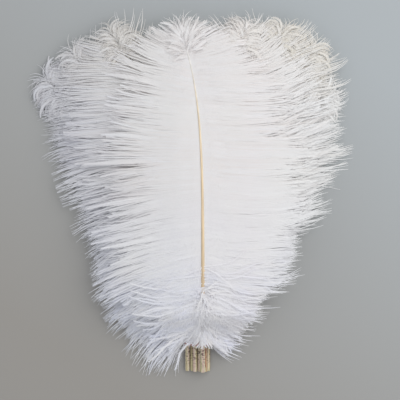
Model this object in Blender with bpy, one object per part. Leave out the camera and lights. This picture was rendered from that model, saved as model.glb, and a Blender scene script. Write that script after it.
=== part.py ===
"""A bunch of nine white ostrich plumes, tied round their quills and lying flat.

Metres, +Z up. The cut quill ends point to -Y and the tips to +Y. The origin is on the
surface that the bunch lies on, under the middle of its outline.

Each plume is one solid: a round quill, a squarish shaft that tapers to the tip, and locks of
barbs grown from both sides of the shaft. The plumes lie in a stack of thin layers that is
thick in the middle and thin at the rim, so that one plume never cuts into another.
"""
import math
import random
from collections import namedtuple

import bmesh
import bpy
from mathutils import Vector

# Places along the bunch: the cut quill ends, the middle of the tie, where the quills come free
# of it, where the outer plumes start to bear down, and where all of them bear a full vane.
QUILL_END_Y = -0.1745
TIE_Y = -0.1475
FREE_Y = -0.1450
DOWN_Y = -0.1390
VANE_Y = -0.1030
BUNDLE_X = 0.0072
HALF_LENGTH = 0.165
HALF_WIDTH = 0.157

# The quills in the tie: a row of five, three on top of them, and the front one above all.
QUILL_WIDTH = 0.0046
QUILL_HEIGHT = 0.0040
QUILL_PITCH = 0.0050
QUILL_CORNERS = 8
ROW_Z = (0.0016, 0.0060, 0.0104)
TOP_ROW = 2
CUT_LENGTH = 0.0030
CUT_SHARE = 0.84

# The tie is a flat band with rounded edges.
TIE_GAP = 0.0004
TIE_THICK = 0.0012
TIE_WIDE = 0.0030
TIE_STEPS = 24

# The stack of layers: a layer's height in the middle, the share it loses at the rim, the share
# left in the tie, the air below each layer, and the hump of the front plume's down at the tie.
LAYER_HEIGHT = 0.0050
THINNER_AT_SIDES = 0.45
THINNER_AT_ENDS = 0.35
TIED_SHARE = 0.361
FULL_HEIGHT_Y = -0.1110
LAYER_GAP = 0.0002
HUMP_HEIGHT = 0.0090
HUMP_LENGTH = 0.011
HUMP_WIDTH = 0.015

# Shafts. Their sides stand upright to a share of their height, under a ridge.
SHAFT_WIDTH = 0.0036
SHAFT_HEIGHT = 0.0032
TIP_WIDTH = 0.0008
SIDE_SHARE = 0.62
SPREAD_AT_ONCE = 0.35
HOOK_POWER = 5

# Locks: how many gaps between rings bear them, their thickness, the range of their lengths, and
# for each cut across one, how far out it is, the share of the gap it fills and of the thickness.
DOWN_GAPS = 3
VANE_GAPS = 20
LOCK_THICK = 0.0024
LOCK_LENGTHS = (0.97, 1.15)
LOCK_CUTS = ((0.48, 0.92, 0.9), (0.82, 0.62, 0.6))
DOWN_CUTS = ((0.24, 0.96, 0.8), (0.55, 0.9, 0.7), (0.82, 0.62, 0.6))
TIP_THICK = 0.3

# Barbs, in degrees from the way to the tip: they stand off at the start of the vane, lean
# towards the tip along it, close up at its end, and sweep back over the first of the down.
BARB_ANGLE = 110
LEAN_ALONG = 40
FRONT_LEAN = 24
CLOSE_AT_TIP = 38
CLOSE_POWER = 12
SWEEP_BACK = 38
SWEEP_SHARE = 0.05
BARB_TURN = -24
LESS_TURN = 10

# The shares of the longest barb that are left at the very tip and lost in the first down.
TIP_BARB = 0.16
TIP_POWER = 7
SHORT_DOWN = 0.4
SHORT_SHARE = 0.04
LONG_FROM = 0.3

# The rim of the whole bunch seen from above: how far it is from a middle place at every 10
# degrees, counter-clockwise from -X round over the quills. Each lock ends a little off it.
RIM_MIDDLE = Vector((0.0095, 0.0019))
RIM_STEP = 10
RIM_REACH = (
    0.134, 0.125, 0.127, 0.132, 0.144, 0.154, 0.164, 0.172, 0.175, 0.180, 0.162, 0.140, 0.123,
    0.118, 0.117, 0.105, 0.104, 0.120, 0.131, 0.137, 0.155, 0.160, 0.176, 0.189, 0.187, 0.180,
    0.174, 0.170, 0.172, 0.178, 0.189, 0.193, 0.205, 0.195, 0.157, 0.140, 0.134,
)
RIM_SLACK = (-0.04, 0.02)
RIM_TRIES = 40
LEAST_KEPT = 0.3

WHITE = (0.87, 0.86, 0.84)
FADED_RED = (0.42, 0.16, 0.12)

# A plume: its layer, its row and slot in the tie, its shaft's tip, how far that hooks sideways,
# the length of its longest barbs left and right, the share of it that the down has, the sides
# that are free to bear down, and by how many degrees more its right barbs lean back.
Plume = namedtuple("Plume", "name layer row slot tip_x tip_y hook left right down free lean")

PLUMES = (
    Plume("plume_back", 0, 0, 0.0, 0.008, 0.150, -0.006, 0.078, 0.080, 0.8, "", 0),
    Plume("plume_left_outer", 1, 0, -2.0, -0.138, 0.108, -0.018, 0.062, 0.078, 1.1, "left", -3),
    Plume("plume_right_edge", 2, 0, 2.0, 0.132, 0.097, 0.018, 0.078, 0.069, 0.6, "right", 3),
    Plume("plume_left_middle", 3, 0, -1.0, -0.110, 0.132, -0.016, 0.076, 0.080, 0.8, "", 0),
    Plume("plume_right_outer", 4, 0, 1.0, 0.119, 0.139, 0.014, 0.082, 0.074, 0.8, "", 0),
    Plume("plume_left_inner", 5, 1, -0.5, -0.074, 0.151, -0.012, 0.084, 0.082, 0.8, "", 0),
    Plume("plume_right_middle", 6, 1, 1.5, 0.089, 0.153, 0.010, 0.082, 0.080, 0.8, "", 0),
    Plume("plume_right_inner", 7, 1, 0.5, 0.052, 0.154, 0.006, 0.080, 0.084, 0.8, "", 0),
    Plume("plume_front", 8, 2, 1.0, -0.0078, 0.150, -0.020, 0.092, 0.092, 0.5, "left right", 3),
)


def clear_scene():
    for thing in list(bpy.data.objects):
        bpy.data.objects.remove(thing, do_unlink=True)


def make_material(name, colour, roughness):
    material = bpy.data.materials.new(name)
    material.use_nodes = True
    shader = material.node_tree.nodes["Principled BSDF"]
    shader.inputs["Base Color"].default_value = (*colour, 1)
    shader.inputs["Roughness"].default_value = roughness
    shader.inputs["Metallic"].default_value = 0
    return material


def add_object(name, maker, material):
    """A smooth-shaded object with sharp edges kept, from a bmesh."""
    mesh = bpy.data.meshes.new(name)
    bmesh.ops.recalc_face_normals(maker, faces=maker.faces)
    maker.to_mesh(mesh)
    maker.free()
    mesh.materials.append(material)
    mesh.shade_smooth()
    mesh.set_sharp_from_angle(angle=math.radians(40))
    bpy.context.collection.objects.link(bpy.data.objects.new(name, mesh))


def mix(a, b, share):
    return a + (b - a) * share


def smooth(a, b, value):
    """0 below a, 1 above b, and an even S between them."""
    share = min(max((value - a) / (b - a), 0), 1)
    return share * share * (3 - 2 * share)


def layer_height(x, y):
    """The height of one layer of the stack over a place."""
    across = 1 - THINNER_AT_SIDES * (x / HALF_WIDTH) ** 2
    along = 1 - THINNER_AT_ENDS * (y / HALF_LENGTH) ** 2
    return LAYER_HEIGHT * across * along * mix(TIED_SHARE, 1, smooth(FREE_Y, FULL_HEIGHT_Y, y))


def quill_x(plume):
    return BUNDLE_X + plume.slot * QUILL_PITCH


def layer_place(plume, x, y):
    """The underside of a plume's layer. The down of the front plume rises over the tie."""
    low = plume.layer * layer_height(x, y) + LAYER_GAP
    if plume.row == TOP_ROW:
        away = ((y - TIE_Y) / HUMP_LENGTH) ** 2 + ((x - quill_x(plume)) / HUMP_WIDTH) ** 2
        low += HUMP_HEIGHT * math.exp(-away)
    return low


def shaft_point(plume, y):
    """The middle of the shaft's flat underside at y: straight in the tie, then fanning out."""
    along = max(0, (y - DOWN_Y) / (plume.tip_y - DOWN_Y))
    fan = mix(along ** 2, along, SPREAD_AT_ONCE)
    x = mix(quill_x(plume), plume.tip_x, fan) + plume.hook * (along ** HOOK_POWER - fan)
    risen = smooth(FREE_Y, VANE_Y, y) if plume.row < TOP_ROW else float(y > FREE_Y)
    return Vector((x, y, mix(ROW_Z[plume.row], plume.layer * layer_height(x, y), risen)))


def shaft_direction(plume, y):
    step = 0.001
    ahead = shaft_point(plume, y + step) - shaft_point(plume, y - step)
    return Vector((ahead.x, ahead.y)).normalized()


def shaft_size(plume, y):
    """Width and height of the shaft, tapering from the quill to the tip."""
    if y <= DOWN_Y:
        return QUILL_WIDTH, QUILL_HEIGHT
    if y <= VANE_Y:
        share = (y - DOWN_Y) / (VANE_Y - DOWN_Y)
        return mix(QUILL_WIDTH, SHAFT_WIDTH, share), mix(QUILL_HEIGHT, SHAFT_HEIGHT, share)
    share = (y - VANE_Y) / (plume.tip_y - VANE_Y)
    return mix(SHAFT_WIDTH, TIP_WIDTH, share), mix(SHAFT_HEIGHT, TIP_WIDTH, share)


def ring_places(plume):
    """The y of each ring of the shaft that bounds a lock, from the down to the tip."""
    down = [mix(DOWN_Y, VANE_Y, i / DOWN_GAPS) for i in range(DOWN_GAPS)]
    return down + [mix(VANE_Y, plume.tip_y, i / VANE_GAPS) for i in range(VANE_GAPS + 1)]


def shaft_ring(plume, y):
    """Five corners, counter-clockwise seen from the tip's side: flat below, ridged on top."""
    foot, ahead = shaft_point(plume, y), shaft_direction(plume, y)
    width, height = shaft_size(plume, y)
    side = Vector((ahead.y, -ahead.x, 0)) * width / 2
    up = Vector((0, 0, height))
    flank = up * SIDE_SHARE
    return [foot - side, foot + side, foot + side + flank, foot + up, foot - side + flank]


def quill_ring(plume, y, share):
    """A round ring of the bare quill, with a flat side below, at a share of its full size."""
    centre = shaft_point(plume, y) + Vector((0, 0, QUILL_HEIGHT / 2))
    across, up = QUILL_WIDTH / 2 * share, QUILL_HEIGHT / 2 * share
    turns = [math.tau * (i + 0.5) / QUILL_CORNERS for i in range(QUILL_CORNERS)]
    return [centre + Vector((math.sin(a) * across, 0, -math.cos(a) * up)) for a in turns]


def barb_length(longest, down, grown):
    """Barbs are short in the first down, longest past the middle, and short again at the tip."""
    down_share = mix(down, 1, smooth(0, LONG_FROM, grown))
    down_share *= 1 - SHORT_DOWN * math.exp(-grown / SHORT_SHARE)
    return longest * down_share * mix(TIP_BARB, 1, (1 - min(grown, 1) ** TIP_POWER) ** 0.8)


def barb_point(plume, side, y, share, dice):
    """A place on the barb that leaves the shaft at y; side is -1 for left and 1 for right."""
    grown = (y - DOWN_Y) / (plume.tip_y - DOWN_Y)
    lean = FRONT_LEAN if plume.row == TOP_ROW else LEAN_ALONG
    angle = BARB_ANGLE - lean * grown - CLOSE_AT_TIP * grown ** CLOSE_POWER
    angle += SWEEP_BACK * math.exp(-grown / SWEEP_SHARE) + plume.lean * side
    angle, turn = math.radians(angle), math.radians(BARB_TURN + LESS_TURN * grown)
    length = barb_length(plume.left if side < 0 else plume.right, plume.down, grown) * dice
    forward = (math.sin(angle + turn * share) - math.sin(angle)) / turn * length
    sideways = (math.cos(angle) - math.cos(angle + turn * share)) / turn * length
    ahead = shaft_direction(plume, y)
    across = Vector((ahead.y, -ahead.x)) * side
    start = shaft_point(plume, y).xy + across * shaft_size(plume, y)[0] / 2
    return start + ahead * forward + across * sideways


def rim_share(place):
    """How far out a place lies, as a share of the way from the middle to the rim."""
    away = place - RIM_MIDDLE
    spot = (math.degrees(math.atan2(away.y, away.x)) + 180) / RIM_STEP
    low = min(int(spot), len(RIM_REACH) - 2)
    return away.length / mix(RIM_REACH[low], RIM_REACH[low + 1], spot - low)


def kept_share(plume, side, y, dice, slack):
    """The share of the barb that leaves the shaft at y up to where it passes the rim."""
    for i in range(1, RIM_TRIES + 1):
        if rim_share(barb_point(plume, side, y, i / RIM_TRIES, dice)) > 1 + slack:
            return max((i - 1) / RIM_TRIES, LEAST_KEPT)
    return 1


def lock_section(plume, side, ends, share, width, thick, dice):
    """The four corners of a cut across a lock: low and high, first on the quill's side."""
    near, far = [barb_point(plume, side, y, share * kept, dice) for y, kept in ends]
    corners = []
    for place in (near.lerp(far, (1 - width) / 2), far.lerp(near, (1 - width) / 2)):
        low = layer_place(plume, place.x, place.y)
        room = layer_height(place.x, place.y) - 3 * LAYER_GAP
        high = low + min(LOCK_THICK * thick, room)
        corners += [Vector((place.x, place.y, low)), Vector((place.x, place.y, high))]
    return corners


def grow_lock(maker, plume, side, low_y, high_y, root, dice, slack):
    """Extrudes a lock from the four corners of one side of the shaft to its pointed tip."""
    ring = root
    ends = [(y, kept_share(plume, side, y, dice, slack)) for y in (low_y, high_y)]
    for share, width, thick in DOWN_CUTS if low_y < VANE_Y else LOCK_CUTS:
        corners = lock_section(plume, side, ends, share, width, thick, dice)
        following = [maker.verts.new(corner) for corner in corners]
        for a, b in ((0, 1), (1, 3), (3, 2), (2, 0)):
            maker.faces.new((ring[a], ring[b], following[b], following[a]))
        ring = following
    last = lock_section(plume, side, ends, 1, 0, TIP_THICK, dice)
    tip = maker.verts.new((last[0] + last[1]) / 2)
    for a, b in ((0, 1), (1, 3), (3, 2), (2, 0)):
        maker.faces.new((ring[a], ring[b], tip))


def skin(maker, rings):
    """Closed bands of quads between rings with the same number of corners."""
    for low, high in zip(rings, rings[1:]):
        for i in range(len(low)):
            j = (i + 1) % len(low)
            maker.faces.new((low[i], low[j], high[j], high[i]))


def grow_quill(maker, plume, first_ring):
    """The bare quill, from its cut end to the first ring of the shaft."""
    shape = ((QUILL_END_Y, CUT_SHARE), (QUILL_END_Y + CUT_LENGTH, 1), (FREE_Y, 1))
    rings = [[maker.verts.new(p) for p in quill_ring(plume, y, share)] for y, share in shape]
    skin(maker, rings)
    maker.faces.new(rings[0])
    edges = []
    for ring in (rings[-1], first_ring):
        edges += [maker.edges.get((ring[i - 1], ring[i])) for i in range(len(ring))]
    bmesh.ops.bridge_loops(maker, edges=edges)


def grow_tip(maker, plume, ring):
    """The shaft's end runs out into one last lock that points ahead."""
    end, ahead = shaft_point(plume, plume.tip_y), shaft_direction(plume, plume.tip_y)
    reach = barb_length((plume.left + plume.right) / 2, plume.down, 1)
    tip = maker.verts.new(end + Vector((ahead.x * reach, ahead.y * reach, 2 * LAYER_GAP)))
    for i in range(len(ring)):
        maker.faces.new((ring[i - 1], ring[i], tip))


def add_plume(plume, material):
    """The shaft's rings with flat faces below and on top, and a lock out of each free flank."""
    maker = bmesh.new()
    luck = random.Random(plume.layer)
    places = ring_places(plume)
    rings = [[maker.verts.new(p) for p in shaft_ring(plume, y)] for y in places]
    for gap, (low, high) in enumerate(zip(rings, rings[1:])):
        low_y, high_y = places[gap], places[gap + 1]
        for i, j in ((0, 1), (2, 3), (3, 4)):
            maker.faces.new((low[i], low[j], high[j], high[i]))
        for side, bottom, top in ((-1, 0, 4), (1, 1, 2)):
            dice, slack = luck.uniform(*LOCK_LENGTHS), luck.uniform(*RIM_SLACK)
            root = [low[bottom], low[top], high[bottom], high[top]]
            if gap >= DOWN_GAPS or ("left" if side < 0 else "right") in plume.free:
                grow_lock(maker, plume, side, low_y, high_y, root, dice, slack)
            else:
                maker.faces.new((root[0], root[1], root[3], root[2]))
    grow_quill(maker, plume, rings[0])
    grow_tip(maker, plume, rings[-1])
    add_object(plume.name, maker, material)


def tie_outline(clearance):
    """The tight closed curve round all the quills at a clearance, as places across and up."""
    centres = [Vector((quill_x(p), ROW_Z[p.row] + QUILL_HEIGHT / 2)) for p in PLUMES]
    points = []
    for i in range(TIE_STEPS):
        turn = math.tau * i / TIE_STEPS
        outward = Vector((math.cos(turn), math.sin(turn)))
        centre = max(centres, key=lambda c: c.dot(outward))
        size = Vector((QUILL_WIDTH / 2 + clearance, QUILL_HEIGHT / 2 + clearance))
        points.append(centre + size * outward)
    return points


def add_tie(material):
    maker = bmesh.new()
    round_off = TIE_THICK * 0.3
    profile = (
        (0, -TIE_WIDE / 2),
        (TIE_THICK - round_off, -TIE_WIDE / 2),
        (TIE_THICK, -TIE_WIDE / 2 + round_off),
        (TIE_THICK, TIE_WIDE / 2 - round_off),
        (TIE_THICK - round_off, TIE_WIDE / 2),
        (0, TIE_WIDE / 2),
    )
    loops = []
    for out, along in profile:
        outline = tie_outline(TIE_GAP + out)
        loops.append([maker.verts.new((p.x, TIE_Y + along, p.y)) for p in outline])
    skin(maker, loops + loops[:1])
    add_object("tie", maker, material)


def main():
    clear_scene()
    for plume in PLUMES:
        add_plume(plume, make_material(f"{plume.name} white keratin", WHITE, 0.7))
    add_tie(make_material("tie faded red cotton", FADED_RED, 0.8))


main()
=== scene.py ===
"""The looks of a bunch of nine white ostrich plumes, tied round their quills and laid down.

Metres, +Z up: the cut quill ends point to -Y, the tips to +Y, and the surface is at z = 0.
"""

import math
import random
from collections import namedtuple

import bmesh
import bpy
import numpy as np
from mathutils import Matrix, Vector


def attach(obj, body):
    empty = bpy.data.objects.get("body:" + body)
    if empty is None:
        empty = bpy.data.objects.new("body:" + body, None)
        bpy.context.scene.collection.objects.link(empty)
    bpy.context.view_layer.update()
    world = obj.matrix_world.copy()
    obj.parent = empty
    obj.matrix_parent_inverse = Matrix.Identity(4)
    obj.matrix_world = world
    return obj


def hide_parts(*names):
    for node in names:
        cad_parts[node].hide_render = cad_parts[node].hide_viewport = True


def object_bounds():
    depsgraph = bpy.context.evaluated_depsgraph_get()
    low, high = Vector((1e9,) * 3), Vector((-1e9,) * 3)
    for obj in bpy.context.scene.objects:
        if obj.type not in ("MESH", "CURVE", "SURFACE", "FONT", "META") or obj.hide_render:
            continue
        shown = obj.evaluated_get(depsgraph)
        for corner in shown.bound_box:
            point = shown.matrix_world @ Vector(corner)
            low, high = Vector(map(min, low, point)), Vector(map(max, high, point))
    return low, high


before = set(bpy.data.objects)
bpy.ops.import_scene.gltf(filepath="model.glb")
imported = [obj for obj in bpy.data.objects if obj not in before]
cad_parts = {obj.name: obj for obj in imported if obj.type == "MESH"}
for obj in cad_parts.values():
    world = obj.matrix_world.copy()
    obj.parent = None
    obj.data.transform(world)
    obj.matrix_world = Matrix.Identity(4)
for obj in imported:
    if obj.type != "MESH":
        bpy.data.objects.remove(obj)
cad_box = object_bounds()

# ------------------------ camera
# The bunch is seen from straight above, as if from a copy stand, so the camera is square to the
# surface, a little nearer the quills. The view's width is that at the height SEEN_AT_Z.
VIEW_WIDTH = 0.380
VIEW_MIDDLE = (0.0095, -0.0076)
LENS_MM = 85
SENSOR_MM = 36
SEEN_AT_Z = 0.030

scene = bpy.context.scene
camera = bpy.data.objects.new("camera", bpy.data.cameras.new("camera"))
camera.data.lens = LENS_MM
camera.data.sensor_width = SENSOR_MM
camera.location = (*VIEW_MIDDLE, SEEN_AT_Z + VIEW_WIDTH * LENS_MM / SENSOR_MM)
bpy.context.collection.objects.link(camera)
scene.camera = camera

# ------------------------ surface
# The bunch lies on a sheet of pale grey-green board, painted matt and plain. Painted light: the
# board is lighter and cooler towards the lamp's side, and darker and warmer away from it.
BOARD_SIDE = 6.0
BOARD_LIT_TONE = "#B1B6B9"
BOARD_SHADED_TONE = "#A09C97"
LIGHTER_WARDS = (0.56, 0.83, 0)
TONE_REACH = 0.2
# How a node mixes two colours, and how one tints another.
MIXING = {"data_type": "RGBA"}
TINTING = {"data_type": "RGBA", "blend_type": "MULTIPLY"}


def linear(colour):
    """An sRGB hex colour as linear numbers with alpha."""
    parts = [int(colour[i:i + 2], 16) / 255 for i in (1, 3, 5)]
    return [p / 12.92 if p <= 0.04045 else ((p + 0.055) / 1.055) ** 2.4 for p in parts] + [1]


def add_node(tree, kind, settings=None, tones=(), **links):
    """Adds a node, sets its properties and a ramp's tones, and sets or links its sockets."""
    node = tree.nodes.new(kind)
    for name, value in (settings or {}).items():
        setattr(node, name, value)
    while tones and len(node.color_ramp.elements) < len(tones):
        node.color_ramp.elements.new(0.5)
    for stop, (where, colour) in zip(node.color_ramp.elements if tones else (), tones):
        stop.position = where
        stop.color = linear(colour)
    for name, value in links.items():
        name = name.replace("_", " ")
        last = name.split()[-1]
        socket = node.inputs[int(last) if last.isdigit() else name]
        if isinstance(value, bpy.types.NodeSocket):
            tree.links.new(value, socket)
        else:
            socket.default_value = value
    return node


def new_material(name):
    """A node material, its tree, its shader, and places on the object for its patterns."""
    material = bpy.data.materials.new(name)
    material.use_nodes = True
    tree = material.node_tree
    place = add_node(tree, "ShaderNodeTexCoord").outputs["Object"]
    return material, tree, tree.nodes["Principled BSDF"], place


board_maker = bmesh.new()
bmesh.ops.create_grid(board_maker, x_segments=1, y_segments=1, size=BOARD_SIDE / 2)
board_mesh = bpy.data.meshes.new("board")
board_maker.to_mesh(board_mesh)
board_maker.free()
board = bpy.data.objects.new("board", board_mesh)
bpy.context.collection.objects.link(board)

# Matt painted board: no gloss, and painted light, lighter and cooler towards the lamp.
paint, tree, shader, place = new_material("matt painted board")
along = add_node(
    tree, "ShaderNodeVectorMath", {"operation": "DOT_PRODUCT"}, socket_0=place,
    socket_1=LIGHTER_WARDS,
)
share = add_node(
    tree, "ShaderNodeMapRange", Value=along.outputs["Value"], From_Min=-TONE_REACH,
    From_Max=TONE_REACH,
)
# Painted light: the board's tone goes from the shaded one to the lit one towards the lamp.
tone = add_node(
    tree, "ShaderNodeMix", MIXING, Factor=share.outputs["Result"],
    socket_6=linear(BOARD_SHADED_TONE), socket_7=linear(BOARD_LIT_TONE),
)
tree.links.new(tone.outputs[2], shader.inputs["Base Color"])
shader.inputs["Roughness"].default_value = 0.9
shader.inputs["Specular IOR Level"].default_value = 0.2
board_mesh.materials.append(paint)

# ------------------------ light
# One wide soft light from the upper right, with the even light of a pale room. White barbs pass
# light on to each other many times before it leaves the heap, so it may bounce often.
SOFT_PLACE = (0.80, 0.50, 1.10)
SOFT_SIDE = 1.8
SOFT_WATTS = 14.3
SOFT_COLOUR = "#FFFDF8"
ROOM_COLOUR = "#E9EDF2"
ROOM_STRENGTH = 0.71

lamp = bpy.data.lights.new("soft daylight", "AREA")
lamp.size = SOFT_SIDE
lamp.energy = SOFT_WATTS
lamp.color = linear(SOFT_COLOUR)[:3]
light = bpy.data.objects.new("soft daylight", lamp)
light.location = SOFT_PLACE
light.rotation_euler = (-Vector(SOFT_PLACE)).to_track_quat("-Z", "Y").to_euler()
bpy.context.collection.objects.link(light)

world = bpy.data.worlds.new("pale room")
world.use_nodes = True
room = world.node_tree.nodes["Background"]
room.inputs["Color"].default_value = linear(ROOM_COLOUR)
room.inputs["Strength"].default_value = ROOM_STRENGTH
scene.world = world
scene.view_settings.view_transform = "Standard"
scene.cycles.max_bounces = 24
scene.cycles.diffuse_bounces = 16
scene.cycles.transmission_bounces = 24

# ------------------------ shafts and quills
# Each plume grew on one tapering spine of keratin: a round bare quill, cut square and hollow at
# its end, that turns into a solid ivory shaft and runs out to a thread at the tip. Five quills
# lie side by side in the tie, three on top of them, and the front one on those.

# Along the bunch: the cut ends, the tie, where the quills come free of it, where the down starts,
# where the layers have their full height, and where the vanes start. Then the quills' middle
# across it, and the half size over which its layers thin out.
QUILL_END_Y = cad_box[0].y
TIE_Y = -0.1475
FREE_Y = -0.1450
DOWN_Y = -0.1390
FULL_Y = -0.1110
VANE_Y = -0.1030
BUNDLE_X = 0.0072
HALF_LENGTH = 0.165
HALF_WIDTH = 0.157

# The quills in the tie: their size, the distance between them and the height of each row.
QUILL_WIDTH = 0.0046
QUILL_HEIGHT = 0.0040
QUILL_PITCH = 0.0050
ROW_Z = (0.0016, 0.0060, 0.0104)
TOP_ROW = 2

# A layer's height, the gap to the next, and how much of it is lost at the sides and the ends and
# left at the tie. Then how far the front layer rises over the tie, and over which reach.
LAYER_HEIGHT = 0.0050
LAYER_GAP = 0.0002
SIDE_THINNING = 0.45
END_THINNING = 0.35
TIE_THICKNESS = 0.361
TIE_RISE = 0.0090
TIE_RISE_X = 0.015
TIE_RISE_Y = 0.011

# The shafts: how evenly they fan out, their size after the quill and at the tip, and how finely
# they are modelled.
EVEN_FAN = 0.35
SHAFT_WIDTH = 0.0036
SHAFT_HEIGHT = 0.0032
TIP_WIDTH = 0.0008
SHAFT_CORNERS = 10
SHAFT_RINGS = 46
SMALL_STEP = 0.001
WELD = 1e-6
SHARP_DEGREES = 50

# The cut end: how far it narrows, to which share, and its bore's share and depth.
CUT_LENGTH = 0.0030
CUT_SHARE = 0.84
BORE_SHARE = 0.62
BORE_DEPTH = 0.0040

# A plume: its layer in the stack, its row and slot in the tie, its shaft's tip, how far that
# hooks sideways, the length of its longest barbs left and right, the share of it that the down
# has, and by how many degrees its right barbs lean back and its left ones forward.
Plume = namedtuple("Plume", "name layer row slot tip_x tip_y hook left right down lean")

PLUMES = (
    Plume("plume_back", 0, 0, 0.0, 0.008, 0.150, -0.006, 0.078, 0.080, 0.8, 0),
    Plume("plume_left_outer", 1, 0, -2.0, -0.138, 0.108, -0.018, 0.062, 0.078, 1.1, -3),
    Plume("plume_right_edge", 2, 0, 2.0, 0.132, 0.097, 0.018, 0.078, 0.069, 0.6, 3),
    Plume("plume_left_middle", 3, 0, -1.0, -0.110, 0.132, -0.016, 0.076, 0.080, 0.8, 0),
    Plume("plume_right_outer", 4, 0, 1.0, 0.119, 0.139, 0.014, 0.082, 0.074, 0.8, 0),
    Plume("plume_left_inner", 5, 1, -0.5, -0.074, 0.151, -0.012, 0.084, 0.082, 0.8, 0),
    Plume("plume_right_middle", 6, 1, 1.5, 0.089, 0.153, 0.010, 0.082, 0.080, 0.8, 0),
    Plume("plume_right_inner", 7, 1, 0.5, 0.052, 0.154, 0.006, 0.080, 0.084, 0.8, 0),
    Plume("plume_front", 8, 2, 1.0, -0.0078, 0.150, -0.020, 0.092, 0.092, 0.5, 3),
)


def mix(a, b, share):
    return a + (b - a) * share


def smooth(a, b, value):
    """0 below a, 1 above b, and an even S between them."""
    share = np.clip((value - a) / (b - a), 0, 1)
    return share * share * (3 - 2 * share)


def unit(ways):
    """Directions of length 1."""
    return ways / np.maximum(np.linalg.norm(ways, axis=-1, keepdims=True), 1e-9)


def to_right(ways):
    """The directions in plan at right angles to these."""
    return np.stack([ways[..., 1], -ways[..., 0]], -1)


def layer_height(x, y):
    """The height of one layer of the stack, thick in the middle and thin at rim and tie."""
    across = 1 - SIDE_THINNING * (x / HALF_WIDTH) ** 2
    along = 1 - END_THINNING * (y / HALF_LENGTH) ** 2
    return LAYER_HEIGHT * across * along * mix(TIE_THICKNESS, 1, smooth(FREE_Y, FULL_Y, y))


def quill_x(plume):
    return BUNDLE_X + plume.slot * QUILL_PITCH


def layer_floor(plume, x, y):
    """The underside of a plume's layer. The down of the front plume rises over the tie."""
    low = plume.layer * layer_height(x, y) + LAYER_GAP
    if plume.row == TOP_ROW:
        away = ((y - TIE_Y) / TIE_RISE_Y) ** 2 + ((x - quill_x(plume)) / TIE_RISE_X) ** 2
        low = low + TIE_RISE * np.exp(-away)
    return low


def shaft_line(plume, y):
    """Places along the underside of the shaft: straight in the tie, then fanning out."""
    y = np.asarray(y, float)
    grown = np.maximum(0, (y - DOWN_Y) / (plume.tip_y - DOWN_Y))
    fan = mix(grown ** 2, grown, EVEN_FAN)
    x = mix(quill_x(plume), plume.tip_x, fan) + plume.hook * (grown ** 5 - fan)
    risen = smooth(FREE_Y, VANE_Y, y) if plume.row < TOP_ROW else (y > FREE_Y) * 1.0
    z = mix(ROW_Z[plume.row], plume.layer * layer_height(x, y), risen)
    return np.stack([x, y, z], -1)


def shaft_ahead(plume, y):
    """The shaft's direction in plan."""
    return unit((shaft_line(plume, y + SMALL_STEP) - shaft_line(plume, y - SMALL_STEP))[..., :2])


def shaft_size(plume, y):
    """Width and height of the shaft, tapering from the quill to the tip."""
    first = smooth(DOWN_Y, VANE_Y, y)
    then = np.clip((y - VANE_Y) / (plume.tip_y - VANE_Y), 0, 1)
    width = mix(mix(QUILL_WIDTH, SHAFT_WIDTH, first), TIP_WIDTH, then)
    return width, mix(mix(QUILL_HEIGHT, SHAFT_HEIGHT, first), TIP_WIDTH, then)


def ring_matrix(plume, y, share=1.0):
    """Takes a unit circle to the shaft's outline at y."""
    foot = Vector(shaft_line(plume, y).tolist())
    width, height = shaft_size(plume, y)
    ahead = Vector((*shaft_ahead(plume, y).tolist(), 0))
    across = Vector((ahead.y, -ahead.x, 0))
    turned = Matrix((across, (0, 0, 1), -ahead)).transposed().to_4x4()
    size = Matrix.Diagonal((width / 2 * share, height / 2 * share, 1, 1))
    return Matrix.Translation(foot + Vector((0, 0, height / 2))) @ turned @ size


def add_piece(mesh, material, node):
    """Puts a finished mesh in the scene, under its name, on the root body, and hides the solid it
    shows.
    """
    mesh.materials.append(material)
    piece = bpy.data.objects.new(mesh.name, mesh)
    bpy.context.collection.objects.link(piece)
    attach(piece, "root")
    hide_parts(node)


def make_shaft(plume):
    """A disc pushed along the shaft's line ring by ring, then bored at its cut end."""
    maker = bmesh.new()
    bmesh.ops.create_circle(maker, cap_ends=True, segments=SHAFT_CORNERS, radius=1)
    cut = maker.faces[:][0]
    before = Matrix()
    stations = [(QUILL_END_Y, CUT_SHARE), (QUILL_END_Y + CUT_LENGTH, 1.0)]
    stations += [(y, 1.0) for y in np.linspace(FREE_Y, plume.tip_y, SHAFT_RINGS)]
    cap = cut
    for ring, (y, share) in enumerate(stations):
        after = ring_matrix(plume, y, share)
        if ring:
            grown = bmesh.ops.extrude_face_region(maker, geom=[cap], use_keep_orig=ring == 1)
            cap = [part for part in grown["geom"] if isinstance(part, bmesh.types.BMFace)][0]
        bmesh.ops.transform(maker, matrix=after @ before.inverted(), verts=cap.verts)
        before = after
    bmesh.ops.inset_individual(maker, faces=[cut], thickness=QUILL_WIDTH * (1 - BORE_SHARE) / 2)
    bored = bmesh.ops.extrude_discrete_faces(maker, faces=[cut])["faces"]
    bmesh.ops.translate(maker, vec=(0, BORE_DEPTH, 0), verts=bored[0].verts)
    bmesh.ops.remove_doubles(maker, verts=maker.verts, dist=WELD)
    bmesh.ops.recalc_face_normals(maker, faces=maker.faces)
    mesh = bpy.data.meshes.new(f"{plume.name}_shaft")
    maker.to_mesh(mesh)
    maker.free()
    mesh.shade_smooth()
    mesh.set_sharp_from_angle(angle=math.radians(SHARP_DEGREES))
    return mesh


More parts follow.
